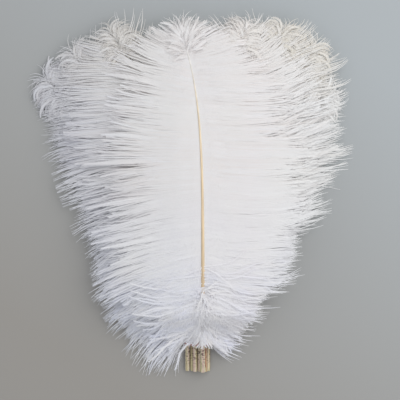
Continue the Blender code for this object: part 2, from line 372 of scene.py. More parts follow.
# Keratin is horn: dense and smooth, with a soft gloss. It is tan and streaked at the bare quill
# and bleaches along the shaft from ivory to white.
SHAFT_TONES = (
    (0.00, "#CAA77C"), (0.08, "#D6B78E"), (0.20, "#E0C5A0"), (0.55, "#ECD3AE"),
    (0.78, "#EEDDC2"), (0.90, "#F1ECE4"), (1.00, "#F4F2F1"),
)
SHAFT_TONES_END_Y = 0.150
horn, tree, shader, place = new_material("bleached quill keratin")
along = add_node(tree, "ShaderNodeSeparateXYZ", Vector=place)
share = add_node(
    tree, "ShaderNodeMapRange", Value=along.outputs["Y"], From_Min=QUILL_END_Y,
    From_Max=SHAFT_TONES_END_Y,
)
tones = add_node(tree, "ShaderNodeValToRGB", tones=SHAFT_TONES, Fac=share.outputs["Result"])
# The bare quills differ from each other, from pinkish to greenish and tan, in bands as wide as
# about two thirds of a quill, which run along it.
QUILL_TONES = ((0.36, "#D2B5A6"), (0.47, "#E6D9BE"), (0.56, "#CDC294"), (0.66, "#B79B78"))
QUILL_BAND_MM = 3.03
ALONG_QUILL = (1, 0.05, 1)
BARE_FROM_Y, BARE_TO_Y = -0.150, -0.140
streaks = add_node(tree, "ShaderNodeMapping", Vector=place, Scale=ALONG_QUILL)
blush = add_node(
    tree, "ShaderNodeTexNoise", Vector=streaks.outputs["Vector"], Scale=1000 / QUILL_BAND_MM,
    Detail=1,
)
shell = add_node(tree, "ShaderNodeValToRGB", tones=QUILL_TONES, Fac=blush.outputs["Fac"])
bare = add_node(
    tree, "ShaderNodeMapRange", Value=along.outputs["Y"], From_Min=BARE_FROM_Y,
    From_Max=BARE_TO_Y, To_Min=1, To_Max=0,
)
quilled = add_node(
    tree, "ShaderNodeMix", MIXING, Factor=bare.outputs["Result"],
    socket_6=tones.outputs["Color"], socket_7=shell.outputs["Color"],
)
# The horn's fibres run along it. They are about 0.1 mm wide, too fine to show, so they are drawn
# this much coarser. They darken it, dull its gloss and stand up as fine ridges.
FIBRE_MM = 1.111
RIDGE_HEIGHT = 0.0001
grain = add_node(
    tree, "ShaderNodeTexNoise", Vector=streaks.outputs["Vector"], Scale=1000 / FIBRE_MM, Detail=4,
)
darker = add_node(
    tree, "ShaderNodeMapRange", Value=grain.outputs["Fac"], From_Min=0.35, From_Max=0.65,
    To_Min=0.78, To_Max=1.06,
)
streaked = add_node(
    tree, "ShaderNodeMix", TINTING, socket_0=1.0,
    socket_6=quilled.outputs[2], socket_7=darker.outputs["Result"],
)
# Dark brown specks, about 1 mm across, lie on the bare quill above its cut end. They are a
# little wider than long, and lie about this far apart.
SPECK_MM = 2.174
SPECK_COLOUR = "#5F4A42"
SPECK_SHAPE = (1, 1.6, 1)
SPECKS_FROM_Y, SPECKS_TO_Y = -0.172, -0.158
flat = add_node(tree, "ShaderNodeMapping", Vector=place, Scale=SPECK_SHAPE)
speckle = add_node(
    tree, "ShaderNodeTexNoise", Vector=flat.outputs["Vector"], Scale=1000 / SPECK_MM, Detail=2,
)
spotted = add_node(
    tree, "ShaderNodeMapRange", Value=speckle.outputs["Fac"], From_Min=0.53, From_Max=0.58,
    To_Max=0.95,
)
upper = add_node(
    tree, "ShaderNodeMapRange", Value=along.outputs["Y"], From_Min=SPECKS_FROM_Y,
    From_Max=SPECKS_TO_Y,
)
above_cut = add_node(
    tree, "ShaderNodeMath", {"operation": "MULTIPLY"}, socket_0=spotted.outputs["Result"],
    socket_1=upper.outputs["Result"],
)
on_bare = add_node(
    tree, "ShaderNodeMath", {"operation": "MULTIPLY"}, socket_0=above_cut.outputs["Value"],
    socket_1=bare.outputs["Result"],
)
flecked = add_node(
    tree, "ShaderNodeMix", MIXING, Factor=on_bare.outputs["Value"],
    socket_6=streaked.outputs[2], socket_7=linear(SPECK_COLOUR),
)
tree.links.new(flecked.outputs[2], shader.inputs["Base Color"])
gloss = add_node(
    tree, "ShaderNodeMapRange", Value=grain.outputs["Fac"], From_Min=0.35, From_Max=0.65,
    To_Min=0.36, To_Max=0.50,
)
tree.links.new(gloss.outputs["Result"], shader.inputs["Roughness"])
ridges = add_node(
    tree, "ShaderNodeBump", Strength=0.3, Distance=RIDGE_HEIGHT, Height=grain.outputs["Fac"],
)
tree.links.new(ridges.outputs["Normal"], shader.inputs["Normal"])
shader.inputs["IOR"].default_value = 1.55

for plume in PLUMES:
    add_piece(make_shaft(plume), horn, plume.name)

# ------------------------ barbs
# A plume's vanes are loose barbs, each a soft flat ribbon some 8 cm long, fringed on both edges
# with barbules that hold to nothing. They bunch in tufts towards their ends, where they show as
# fluffy cords. A barb is modelled straight, a few times over, and laid along each barb's line.

# What a straight barb is modelled from, in metres: its length, half its ribbon's width and its
# thickness, how much of the width is left at the end, the cuts across it, and its barbules'
# number, radius, reach, spread in degrees at root and tip, and tilt out of the ribbon. Real barbs
# are many more and a few tenths of a millimetre wide, so these are drawn fewer and broader.
Strand = namedtuple(
    "Strand", "length half thick end_share cuts barbules radius reach spread_root spread_tip tilt"
)
VANE_BARB = Strand(0.080, 0.0020, 0.0003, 0.28, 7, 38, 0.00065, 0.0046, 46, 28, 7)
FINE_BARB = Strand(0.080, 0.00050, 0.0003, 0.20, 6, 0, 0, 0, 0, 0, 0)
STRAND_KINDS = 8

# A strand is cut from a cone with this end. It has a share of its width at the root, all of it
# from a share of its length on, and narrows from another share on.
STRAND_CORNERS = 3
CONE_END = 0.12
ROOT_SHARE = 0.6
ROOT_LENGTH = 0.08
NARROW_FROM = 0.72
# Half the width and the height of a triangle in a unit circle.
TRIANGLE_HALF = 0.866
TRIANGLE_HEIGHT = 1.5

# The barbules: where the first and last stand, how much their spread varies in degrees, how much
# shorter and thinner they get towards the end, and how flat they are.
BARBULE_FIRST = 0.01
BARBULE_RUN = 0.97
SPREAD_VARIES = 9
BARBULE_SHORTER = 0.45
BARBULE_THINNER = 0.5
BARBULE_FLAT = 0.3


def make_strand(form, dice):
    """One straight barb along +X with its barbules, as numbers: places and triangles."""

    def narrowed(u):
        return 1 - (1 - form.end_share) * smooth(NARROW_FROM, 1.0, u)

    maker = bmesh.new()
    lay = Matrix.Translation((form.length / 2, 0, 0)) @ Matrix.Rotation(math.pi / 2, 4, "Y")
    upright = Matrix.Rotation(math.pi / 2, 4, "Z")
    bmesh.ops.create_cone(
        maker, cap_ends=True, segments=STRAND_CORNERS, radius1=1, radius2=CONE_END,
        depth=form.length, matrix=lay @ upright,
    )
    flat = (1, form.half / TRIANGLE_HALF, form.thick / TRIANGLE_HEIGHT)
    bmesh.ops.scale(maker, vec=flat, verts=maker.verts)
    for cut in range(1, form.cuts):
        parts = maker.verts[:] + maker.edges[:] + maker.faces[:]
        spot = (form.length * (cut / form.cuts) ** 0.75, 0, 0)
        bmesh.ops.bisect_plane(maker, geom=parts, plane_co=spot, plane_no=(1, 0, 0))
    for vert in maker.verts:
        u = min(max(vert.co.x / form.length, 0), 1)
        swell = ROOT_SHARE + (1 - ROOT_SHARE) * min(u / ROOT_LENGTH, 1)
        vert.co.yz = vert.co.yz * (swell * narrowed(u) / (1 - (1 - CONE_END) * u))
    for barbule in range(form.barbules):
        side = 1 if barbule % 2 else -1
        u = ((barbule + dice.uniform(0, 1)) / form.barbules) ** 0.55 * BARBULE_RUN + BARBULE_FIRST
        turn = mix(form.spread_root, form.spread_tip, u ** 1.5)
        turn = math.radians(turn + dice.uniform(-SPREAD_VARIES, SPREAD_VARIES))
        tilt = math.radians(dice.uniform(-form.tilt, form.tilt))
        reach = form.reach * (1 - BARBULE_SHORTER * u ** 2.5) * dice.uniform(0.7, 1.2)
        way = Vector((
            math.cos(turn) * math.cos(tilt), side * math.sin(turn) * math.cos(tilt),
            math.sin(tilt),
        ))
        root = Vector((u * form.length, side * form.half * ROOT_SHARE * narrowed(u), 0))
        aim = way.to_track_quat("Z", "Y").to_matrix().to_4x4()
        thin = Matrix.Diagonal((1 - BARBULE_THINNER * u, BARBULE_FLAT, 1, 1))
        bmesh.ops.create_cone(
            maker, cap_ends=True, segments=STRAND_CORNERS, radius1=form.radius, radius2=0,
            depth=reach, matrix=Matrix.Translation(root + way * reach / 2) @ aim @ thin,
        )
    bmesh.ops.triangulate(maker, faces=maker.faces)
    places = np.array([vert.co for vert in maker.verts])
    corners = np.array([[vert.index for vert in face.verts] for face in maker.faces])
    maker.free()
    return places, corners


strand_dice = random.Random(3)
VANE_BARBS = [make_strand(VANE_BARB, strand_dice) for _ in range(STRAND_KINDS)]
FINE_BARBS = [make_strand(FINE_BARB, strand_dice)]

# Every barb's line has this many places, at these shares of its length.
LINE_STEPS = 17
LINE_SHARES = np.linspace(0, 1, LINE_STEPS)

# The heap's outline from above: how far it reaches from its middle, every 10 degrees from -X
# round by way of -Y.
RIM_MIDDLE = np.array((0.0095, 0.0019))
RIM_BEARINGS = np.arange(-180, 181, 10)
RIM_REACH = (
    0.134, 0.125, 0.127, 0.132, 0.144, 0.154, 0.164, 0.172, 0.175, 0.180, 0.162, 0.140, 0.123,
    0.118, 0.117, 0.105, 0.104, 0.120, 0.131, 0.137, 0.155, 0.160, 0.176, 0.189, 0.187, 0.180,
    0.174, 0.170, 0.172, 0.178, 0.189, 0.193, 0.205, 0.195, 0.157, 0.140, 0.134,
)

# The solids' own box in plan, and how far a barb may reach out of it.
BOX_MIDDLE = np.array((cad_box[0] + cad_box[1])[:2]) / 2
BOX_HALF = np.array((cad_box[1] - cad_box[0])[:2]) / 2
BOX_MARGIN = 0.006

# Where the quills lie bare, from the tie down, and the distance past it that counts as much as
# the whole way from the middle to the rim.
BARE_Y = -0.1490
BARE_MIDDLE_X = 0.0085
BARE_HALF = 0.0150
BARE_UNIT = 0.1

# The least share of a barb that is kept, and a hair that makes the distances rise all the way.
LEAST_KEPT = 0.12
RISING = 1e-6


def cut_to_rim(lines, slack):
    """Shortens each line to where it leaves the rim, and gives the share that is kept."""
    away = lines[..., :2] - RIM_MIDDLE
    bearing = np.degrees(np.arctan2(away[..., 1], away[..., 0]))
    out = np.hypot(away[..., 0], away[..., 1]) / np.interp(bearing, RIM_BEARINGS, RIM_REACH)
    past_tie = 1 + (BARE_Y - lines[..., 1]) / BARE_UNIT
    over_quills = np.abs(lines[..., 0] - BARE_MIDDLE_X) < BARE_HALF
    out = np.where(over_quills, np.maximum(out, past_tie), out) - slack[:, None]
    past_box = np.abs(lines[..., :2] - BOX_MIDDLE) / (BOX_HALF + BOX_MARGIN)
    out = np.maximum(out, past_box.max(-1))
    kept = np.array([
        np.interp(1.0, np.maximum.accumulate(row) + LINE_SHARES * RISING, LINE_SHARES)
        for row in out
    ])
    kept = np.clip(kept, LEAST_KEPT, 1)
    spot = kept[:, None] * LINE_SHARES[None] * (LINE_STEPS - 1)
    before = np.minimum(spot.astype(int), LINE_STEPS - 2)
    part = (spot - before)[..., None]
    row = np.arange(len(lines))[:, None]
    return lines[row, before] * (1 - part) + lines[row, before + 1] * part, kept


# How many layers the ends of a plume's barbs sink, left and right, to lie on the plume below.
SINK = {
    "plume_front": (1.6, 0), "plume_right_inner": (1, 0), "plume_right_middle": (1, 1),
    "plume_left_inner": (1, 1), "plume_right_outer": (1, 1), "plume_left_middle": (1, 1),
    "plume_right_edge": (1, 1.5), "plume_left_outer": (0.7, 0.7), "plume_back": (0, 0),
}

# How many layers the barbs that hang most at a tip droop, which closes the heap's far end.
TIP_DROOP = {
    "plume_front": 5.0, "plume_right_inner": 5.5, "plume_left_inner": 4.4, "plume_right_middle": 3,
}
OTHER_TIP_DROOP = 0.8

# How far the barbs at a tip have yellowed, from 0 to 1.
CREAM = {
    "plume_left_inner": 0.6, "plume_right_middle": 1.0, "plume_right_outer": 0.9,
    "plume_left_middle": 0.4, "plume_right_inner": 0.4, "plume_front": 0.05,
}
OTHER_CREAM = 0.15

# The most height that a barb has in its layer, how much of it is lost to the end, between which
# shares of the length it sinks, and the share over which it rises out of the shaft.
BARB_ROOM = 0.0040
FRONT_ROOM = 0.0024
END_LOWER = 0.75
SINK_FROM, SINK_TO = 0.5, 0.95
RISE_SHARE = 0.14


def lay_height(plume, lines, root_y, level, sink):
    """Adds heights: out of the shaft's flank into the layer, where each barb has its own level."""
    x, y = lines[..., 0], lines[..., 1]
    room = np.minimum(layer_height(x, y) - 3 * LAYER_GAP, BARB_ROOM)
    if plume.row == TOP_ROW:
        room = np.minimum(room, FRONT_ROOM)
    arch = 1 - END_LOWER * (LINE_SHARES ** 2.0)[None]
    sunk = sink * layer_height(x, y) * smooth(SINK_FROM, SINK_TO, LINE_SHARES)[None]
    height = layer_floor(plume, x, y) - sunk + room * level[:, None] * arch
    root = shaft_line(plume, root_y)[:, 2] + shaft_size(plume, root_y)[1] * 0.5
    rise = smooth(0, RISE_SHARE, LINE_SHARES)[None]
    return np.concatenate([lines, mix(root[:, None], height, rise)[..., None]], -1)


def slow_noise(where, waves, dice):
    """A smooth random wave of about one along the shaft, so that neighbours go the same way."""
    total = np.zeros_like(where)
    for pitch in np.geomspace(1, 4, 5) * waves:
        total += np.sin(math.tau * (pitch * where + dice.uniform())) * dice.uniform(0.5, 1)
    return total / 1.4


# In degrees from the shaft's direction: how barbs leave it, how much more at its foot and less
# right at its tip, how much less from foot to tip on the front plume and on the others, and how
# far the front plume's right barbs lie back, and its left ones forward, towards its tip.
LEAVE = 110
FOOT_MORE = 38
TIP_LESS = 38
LESS_FRONT = 24
LESS_UNDER = 40
FRONT_SKEW = 16
# How many degrees a barb turns back from root to end, at the shaft's foot and tip: on the left,
# and on the front plume's right. On the right of the others it turns forward, and more so the
# further out the plume's tip is.
LEFT_TURN = (22, -12)
FRONT_TURN = (-28, -8)
RIGHT_TURN = -26
RIGHT_TURN_A_METRE = 150
# In radians: a smaller turn would divide by nearly nothing.
LEAST_TURN = 0.01
# How far from the shaft's middle a barb is rooted, as a share of the shaft's width.
ROOTED_AT = 0.42


def bent_barbs(plume, side, grown, root_y, length, more=0.0):
    """Barbs as arcs in plan: the places along each, from its root."""
    less = LESS_FRONT if plume.row == TOP_ROW else LESS_UNDER
    angle = LEAVE - less * grown - TIP_LESS * grown ** 12 + FOOT_MORE * np.exp(-grown / 0.05)
    skew = FRONT_SKEW if plume.row == TOP_ROW else 0
    angle += side * skew * smooth(0.4, 1.0, grown)
    angle = np.radians(angle + plume.lean * side + more)[:, None]
    if side < 0:
        turn = mix(*LEFT_TURN, smooth(0, 0.9, grown))
    elif plume.row == TOP_ROW:
        turn = mix(*FRONT_TURN, smooth(0.3, 1.0, grown))
    else:
        turn = RIGHT_TURN - RIGHT_TURN_A_METRE * max(plume.tip_x, 0) * np.ones_like(grown)
    turn = np.radians(turn)[:, None]
    turn = np.where(np.abs(turn) < LEAST_TURN, LEAST_TURN, turn)
    forward = (np.sin(angle + turn * LINE_SHARES) - np.sin(angle)) / turn * length[:, None]
    sideways = (np.cos(angle) - np.cos(angle + turn * LINE_SHARES)) / turn * length[:, None]
    ahead = shaft_ahead(plume, root_y)
    across = to_right(ahead) * side
    width = shaft_size(plume, root_y)[0]
    start = shaft_line(plume, root_y)[:, :2] + across * (width * ROOTED_AT)[:, None]
    way = ahead[:, None] * forward[..., None] + across[:, None] * sideways[..., None]
    return start[:, None] + way


# One barb in this many is a broad one with barbules. A side has about this many tufts.
BROAD_EVERY = 6
TUFTS_A_SIDE = 44
# The share of tufts with stray wisps, the share of their barbs that stray, how much longer those
# are, and how far out of the rim they may reach, as a share of it.
WISPY_TUFTS = 0.22
WISPY_BARBS = 0.45
WISP_LONGER = 1.2
WISP_OUT = 0.12
# The least share of the full length that a barb has: the fine ones, and the broad ones, which
# also end this much sooner at the rim.
FINE_LEAST = 0.80
BROAD_LEAST = 0.66
BROAD_INSIDE = 0.10
# How far the ends of fine barbs gather to the middle of their tuft, and how much of a fine
# barb's curl a broad one has.
GATHER = 0.08
BROAD_CURL = 0.3
# How deep a barb's waves are, and how far that varies along the shaft and from barb to barb.
WAVE_DEEP = 0.0012
WAVE_SLOW = 0.0006
WAVE_OWN = 0.0004
# The share of barbs that lie low in their layer, under the rest.
LOW_BARBS = 0.15


def barb_lines(plume, side, count, dice):
    """The lines of the barbs of one side, root to tip, and their length, kind and yellowing."""
    fine = np.arange(count) % BROAD_EVERY > 0
    grown = ((np.arange(count) + dice.uniform(0.1, 0.9, count)) / count) ** 1.15
    root_y = mix(DOWN_Y, plume.tip_y, grown)
    tuft = np.cumsum(dice.uniform(0, 1, count) < TUFTS_A_SIDE / count)
    tufts = tuft.max() + 1
    tuft_long = dice.uniform(0.86, 1.10, tufts)
    tuft_curl = dice.uniform(-0.03, 0.07, tufts)
    tuft_up = dice.uniform(0, 1, tufts)
    tuft_slack = dice.uniform(-0.05, 0.03, tufts)
    wispy = (dice.uniform(0, 1, tufts) < WISPY_TUFTS)[tuft]
    wispy &= (dice.uniform(0, 1, count) < WISPY_BARBS) & fine

    # The barbs are shorter in the down at the foot and at the tip.
    longest = plume.left if side < 0 else plume.right
    share = mix(plume.down, 1, smooth(0, 0.3, grown)) * (1 - 0.4 * np.exp(-grown / 0.04))
    length = longest * share * mix(0.16, 1, (1 - grown ** 7) ** 0.8)
    shortest = np.where(fine, FINE_LEAST, BROAD_LEAST)
    own = 1.08 * length * tuft_long[tuft] * mix(shortest, 1.07, dice.uniform(0, 1, count))
    own = np.where(wispy, WISP_LONGER * length, own)
    turned = 1.5 * slow_noise(grown, 2, dice) + dice.normal(0, 1.3, count)
    lines = bent_barbs(plume, side, grown, root_y, own, turned)
    middle = np.array([grown[tuft == t].mean() if (tuft == t).any() else 0 for t in range(tufts)])
    middle_y = mix(DOWN_Y, plume.tip_y, middle)
    middles = bent_barbs(plume, side, middle[tuft], middle_y[tuft], own)
    gather = np.where(fine, GATHER, 0.0)[:, None] * smooth(0.6, 1.0, LINE_SHARES)[None]
    lines = mix(lines, middles, gather[..., None])

    # Each barb waves a little, and its end curls with its tuft.
    aside = to_right(unit(np.gradient(lines, axis=1)))
    waves = 1.3 + 0.3 * slow_noise(grown, 3, dice)
    phase = 0.5 * slow_noise(grown, 2, dice) + dice.normal(0, 0.08, count)
    wave = np.sin(math.tau * (LINE_SHARES[None] * waves[:, None] + phase[:, None]))
    deep = WAVE_DEEP + WAVE_SLOW * slow_noise(grown, 3, dice) + dice.normal(0, WAVE_OWN, count)
    sway = wave * (LINE_SHARES ** 1.3)[None] * deep[:, None]
    loose = dice.uniform(0, 1, count) < 0.5
    curl = np.where(loose, dice.normal(0.02, 0.04, count), tuft_curl[tuft])
    curl = (curl + 0.02 * slow_noise(grown, 3, dice) + dice.normal(0, 0.012, count)) * own
    curl = np.where(fine, curl, BROAD_CURL * curl)
    sway = sway + curl[:, None] * (LINE_SHARES ** 4)[None] * side
    lines = lines + aside * sway[..., None]

    # The ends are uneven at the rim, and shorter in the down at the foot.
    slack = tuft_slack[tuft] + dice.normal(-0.018, 0.034, count) - 0.07 * np.exp(-grown / 0.12)
    slack -= np.where(fine, 0, BROAD_INSIDE)
    lines, kept = cut_to_rim(lines, slack + np.where(wispy, WISP_OUT, 0))
    low = (dice.uniform(0, 1, count) < LOW_BARBS) | ~fine
    level = np.where(low, dice.uniform(0.6, 0.92, count), 0.95 + 0.08 * tuft_up[tuft])
    level = level + dice.normal(0, 0.03, count)
    sink = SINK[plume.name][0 if side < 0 else 1] * dice.uniform(0.4, 1.7, tufts)[tuft][:, None]
    yellowed = CREAM.get(plume.name, OTHER_CREAM) * smooth(0.7, 1.0, grown)
    yellowed = yellowed * dice.uniform(0.2, 0.9, count)
    return lay_height(plume, lines, root_y, level, sink), own * kept, fine, yellowed


# The barbs at a tip: their locks, the places where one starts, the share of the shaft that they
# grow from, how many degrees from its direction they leave it, at its end and further back, how
# far they turn over, how far both vary, and how long they are, at its end and further back.
FRONT_LOCKS = 36
OTHER_LOCKS = 12
LOCK_STARTS = 6
TIP_SHARE = 0.085
TIP_LEAVE = (4, 84)
TIP_SPREAD = 17
FRONT_TIP_TURN = 24
OTHER_TIP_TURN = 95
TIP_TURN_SPREAD = 26
TIP_LONG = (0.024, 0.033)
# Half the width that they grow from, how far they puff up, and the share of fine ones.
TIP_HALF = 0.0016
PUFF_LEAST, PUFF_MOST = 0.0005, 0.0030
TIP_FINE = 0.85


def tip_lines(plume, count, dice):
    """The lines of the barbs at the shaft's tip, which curl over all round it in a few locks."""
    locks = FRONT_LOCKS if plume.row == TOP_ROW else OTHER_LOCKS
    lock = np.floor(np.sort(dice.uniform(0, 1, count)) * locks).astype(int)
    side = np.sign(dice.uniform(-1, 1, count))
    from_tip = dice.uniform(0, 1, count) * 0.5 + (lock % LOCK_STARTS) / (2 * LOCK_STARTS)
    lock_turn = dice.uniform(0.7, 1.25, locks)
    lock_long = dice.uniform(0.85, 1.1, locks)
    grown = 1 - TIP_SHARE * from_tip
    root_y = mix(DOWN_Y, plume.tip_y, grown)
    ahead = shaft_ahead(plume, root_y)
    across = to_right(ahead)
    first = side * np.radians(mix(*TIP_LEAVE, from_tip) + dice.normal(0, TIP_SPREAD, count))
    most = FRONT_TIP_TURN if plume.row == TOP_ROW else OTHER_TIP_TURN
    turn = side * np.radians(most * lock_turn[lock] + dice.normal(0, TIP_TURN_SPREAD, count))
    length = mix(*TIP_LONG, from_tip) * lock_long[lock] * dice.uniform(0.75, 1.05, count)
    angle = first[:, None] + turn[:, None] * LINE_SHARES ** 1.6
    step = length[:, None] / (LINE_STEPS - 1)
    forward = np.cumsum(np.cos(angle) * step, 1)
    sideways = np.cumsum(np.sin(angle) * step, 1)
    off = across * dice.uniform(-TIP_HALF, TIP_HALF, (count, 1))
    start = shaft_line(plume, root_y)[:, :2] + off
    lines = start[:, None] + ahead[:, None] * forward[..., None]
    lines = lines + across[:, None] * sideways[..., None]
    lines, kept = cut_to_rim(lines, dice.uniform(-0.03, 0.06, count))
    most = TIP_DROOP.get(plume.name, OTHER_TIP_DROOP)
    droop = most * dice.uniform(0, 1, (count, 1)) ** 0.7
    lines = lay_height(plume, lines, root_y, dice.uniform(0.8, 1.2, count), droop)
    puff = dice.uniform(PUFF_LEAST, PUFF_MOST, count)[:, None]
    lines[..., 2] += np.sin(np.pi * LINE_SHARES ** 0.8)[None] * puff
    yellowed = CREAM.get(plume.name, OTHER_CREAM) * dice.uniform(0.5, 1.0, count)
    return lines, length * kept, dice.uniform(0, 1, count) < TIP_FINE, yellowed


# How far barbs roll about their own line, in radians: all along, and more at their ends.
ROLL = 0.08
END_ROLL = 0.12
# How much of a barb's row on its map the width of its ribbon takes, per metre.
ROWS_A_METRE = 80


def lay_strands(form, strands, lines, lengths, dice):
    """Bends a straight barb along each line, and joins them all into arrays of one mesh."""
    places, corners, along, rows = [], [], [], []
    first = 0
    step = unit(np.gradient(lines, axis=1))
    aside = unit(np.cross(step, (0, 0, 1.0)))
    above = np.cross(aside, step)
    count = len(lines)
    roll = dice.normal(0, ROLL, count)[:, None]
    roll = (roll + dice.normal(0, END_ROLL, count)[:, None] * LINE_SHARES[None] ** 2)[..., None]
    aside, above = (
        aside * np.cos(roll) + above * np.sin(roll), above * np.cos(roll) - aside * np.sin(roll),
    )
    kind = dice.integers(0, len(strands), count)
    for wanted, (strand, triangles) in enumerate(strands):
        mine = np.flatnonzero(kind == wanted)
        u = np.clip(strand[:, 0] / form.length, 0, 1.02)
        spot = np.clip(u, 0, 1) * (LINE_STEPS - 1)
        before = np.minimum(spot.astype(int), LINE_STEPS - 2)
        part = (spot - before)[:, None]
        size = np.clip(lengths[mine] / form.length, 0.2, 1.1)[:, None, None] ** 0.5

        def read(values):
            return values[mine][:, before] * (1 - part) + values[mine][:, before + 1] * part

        beyond = (u - np.clip(u, 0, 1))[None, :, None] * lengths[mine][:, None, None]
        laid = (
            read(lines) + read(step) * beyond
            + read(aside) * strand[None, :, 1:2] * size + read(above) * strand[None, :, 2:3] * size
        )
        places.append(laid.reshape(-1, 3))
        block = triangles[None] + (first + np.arange(len(mine)) * len(strand))[:, None, None]
        corners.append(block.reshape(-1, 3))
        along.append(np.tile(u, len(mine)))
        ribbon = np.tile(strand[:, 1] * ROWS_A_METRE, len(mine))
        rows.append(np.repeat(mine, len(strand)) + ribbon)
        first += len(mine) * len(strand)
    return [np.concatenate(part) for part in (places, corners, along, rows)]


# A soft heap is lit by its form more than by each barb's faces, so the faces' normals lean up by
# this much, and with the heap's dome across and along it. A barb's map has a margin at its ends.
SOFT_UP = 3.0
DOME_LEAN = (0.34, -0.06)
MAP_MARGIN = 0.02
# The lowest and highest that a barb may lie: on the surface, and just over the solids' box.
LOWEST_Z = 0.0003
HIGHEST_Z = cad_box[1].z + 0.001


def barb_mesh(name, arrays, yellowed):
    """A mesh of joined barbs. Each barb has its own row on the map, from root to tip."""
    places, corners, along, rows = arrays
    places[:, 2] = np.clip(places[:, 2], LOWEST_Z, HIGHEST_Z)
    mesh = bpy.data.meshes.new(name)
    mesh.vertices.add(len(places))
    mesh.vertices.foreach_set("co", places.astype(np.float32).ravel())
    mesh.loops.add(corners.size)
    mesh.loops.foreach_set("vertex_index", corners.astype(np.int32).ravel())
    mesh.polygons.add(len(corners))
    mesh.polygons.foreach_set("loop_start", np.arange(0, corners.size, 3, dtype=np.int32))
    chart = mesh.uv_layers.new(name="OFBake")
    across = along * (1 - 2 * MAP_MARGIN) + MAP_MARGIN
    spread = np.stack([across, (rows + 0.5) / len(yellowed)], -1)[corners.ravel()]
    chart.uv.foreach_set("vector", spread.astype(np.float32).ravel())
    barb = np.clip(np.floor(rows + 0.5), 0, len(yellowed) - 1).astype(int)
    for title, values in (("barb_number", barb), ("yellowed", yellowed[barb])):
        looked_up = mesh.attributes.new(title, "FLOAT", "POINT")
        looked_up.data.foreach_set("value", values.astype(np.float32))
    mesh.update()
    mesh.validate()
    mesh.shade_smooth()
    facing, middles = np.empty((2, len(mesh.polygons), 3), np.float32)
    mesh.polygons.foreach_get("normal", facing.ravel())
    mesh.polygons.foreach_get("center", middles.ravel())
    upward = np.where(facing[:, 2] > 0, SOFT_UP, -SOFT_UP)
    facing[:, 2] += upward
    facing[:, 0] += upward * DOME_LEAN[0] * (middles[:, 0] - RIM_MIDDLE[0]) / HALF_WIDTH
    facing[:, 1] += upward * DOME_LEAN[1] * (middles[:, 1] - RIM_MIDDLE[1]) / HALF_LENGTH
    mesh.normals_split_custom_set(np.repeat(unit(facing), 3, axis=0))
    return mesh


# Barb keratin is bleached white and silky, and light passes through it, so a heap of barbs glows
# from inside. It is bluish towards the quills, takes the bleach unevenly in patches of a few
# centimetres, and yellows to cream at the ends, and no two barbs are quite the same white.
BLUISH = "#EFF2FF"
WARM = "#F9F4F3"
BLUISH_Y, WARM_Y = -0.14, 0.02
WHITEST_BARB = "#FDFCFE"
WHITEST_PATCH = "#FDFBFA"
YELLOWED = "#F1EDE6"
PATCH_MM = 45.45
# Painted shade: the barbs darken towards the rim, most of all on the left, away from the lamp,
# where the shade is bluer.
RIM_SHADE_TONES = ((0.00, "#F5F7FB"), (0.28, "#FEFFFF"), (0.72, "#FFFFFF"), (1.00, "#FCFEFE"))
RIM_SHADE_X = 0.125
vane, tree, shader, place = new_material("bleached barb keratin")
patches = add_node(tree, "ShaderNodeTexNoise", Vector=place, Scale=1000 / PATCH_MM, Detail=3)
barb_number = add_node(tree, "ShaderNodeAttribute", {"attribute_name": "barb_number"})
each = add_node(
    tree, "ShaderNodeTexWhiteNoise", {"noise_dimensions": "1D"}, W=barb_number.outputs["Fac"],
)
along = add_node(tree, "ShaderNodeSeparateXYZ", Vector=place)
share = add_node(
    tree, "ShaderNodeMapRange", Value=along.outputs["Y"], From_Min=BLUISH_Y, From_Max=WARM_Y,
)
bluish = add_node(
    tree, "ShaderNodeMix", MIXING, Factor=share.outputs["Result"],
    socket_6=linear(BLUISH), socket_7=linear(WARM),
)
whites = add_node(
    tree, "ShaderNodeMix", MIXING, Factor=each.outputs["Value"],
    socket_6=bluish.outputs[2], socket_7=linear(WHITEST_BARB),
)
patched = add_node(
    tree, "ShaderNodeMix", MIXING, Factor=patches.outputs["Fac"],
    socket_6=whites.outputs[2], socket_7=linear(WHITEST_PATCH),
)
across = add_node(
    tree, "ShaderNodeMapRange", Value=along.outputs["X"], From_Min=-RIM_SHADE_X,
    From_Max=RIM_SHADE_X,
)
rim = add_node(tree, "ShaderNodeValToRGB", tones=RIM_SHADE_TONES, Fac=across.outputs["Result"])
# Painted shade: the rim tones darken the outer barbs, the left ones most.
rim_shaded = add_node(
    tree, "ShaderNodeMix", TINTING, socket_0=1.0,
    socket_6=patched.outputs[2], socket_7=rim.outputs["Color"],
)
aged = add_node(tree, "ShaderNodeAttribute", {"attribute_name": "yellowed"})
cream = add_node(
    tree, "ShaderNodeMix", MIXING, Factor=aged.outputs["Fac"],
    socket_6=rim_shaded.outputs[2], socket_7=linear(YELLOWED),
)
tree.links.new(cream.outputs[2], shader.inputs["Base Color"])
silk = add_node(tree, "ShaderNodeMapRange", Value=each.outputs["Value"], To_Min=0.55, To_Max=0.70)
tree.links.new(silk.outputs["Result"], shader.inputs["Roughness"])
shader.inputs["IOR"].default_value = 1.55
shader.inputs["Sheen Weight"].default_value = 0.2
# This share of the light goes through a barb.
THROUGH = 0.30
glow = add_node(tree, "ShaderNodeBsdfTranslucent", Color=cream.outputs[2])
both = add_node(
    tree, "ShaderNodeMixShader", socket_0=THROUGH, socket_1=shader.outputs["BSDF"],
    socket_2=glow.outputs["BSDF"],
)
tree.links.new(both.outputs["Shader"], tree.nodes["Material Output"].inputs["Surface"])

# The barbs of each side, left and right, and of the tip. A plume that leans outwards shows its
# outer side, and the inner one lies under the next plume.
BARBS_A_SIDE = {"plume_front": (1330, 1330), "plume_back": (240, 240)}
BARBS_SHOWN, BARBS_HIDDEN = 900, 240
TIP_BARBS = {"plume_front": 400}
OTHER_TIP_BARBS = 260


